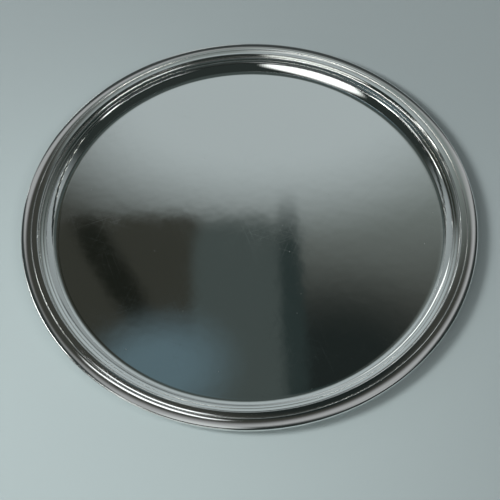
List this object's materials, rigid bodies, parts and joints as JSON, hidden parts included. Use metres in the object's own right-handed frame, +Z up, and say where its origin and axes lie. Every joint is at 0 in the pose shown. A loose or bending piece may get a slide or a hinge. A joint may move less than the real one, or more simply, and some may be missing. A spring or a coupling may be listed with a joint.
{
  "type": "cocktail tray",
  "caption": "Round shallow tray of mirror-polished metal, with a flat well and a stepped, reeded border rolled over a wire, for serving drinks.",
  "frame": {"origin": "middle of the underside of the dish, on the surface that the tray stands on", "axes": "+Z up, along the axis that every piece is turned about; the tray is the same all round"},
  "size_m": [0.35, 0.35, 0.0121],
  "materials": {
    "dish_silver": "mirror-polished silver plate with fine wiping scratches",
    "border_silver": "mirror-polished silver plate, faintly warm in the creases",
    "wire_steel": "plain drawn wire, hidden in the rolled edge"
  },
  "bodies": {
    "root": {"dish": "dish_silver", "reeded_border": "border_silver", "edge_wire": "wire_steel"}
  },
  "joints": []
}
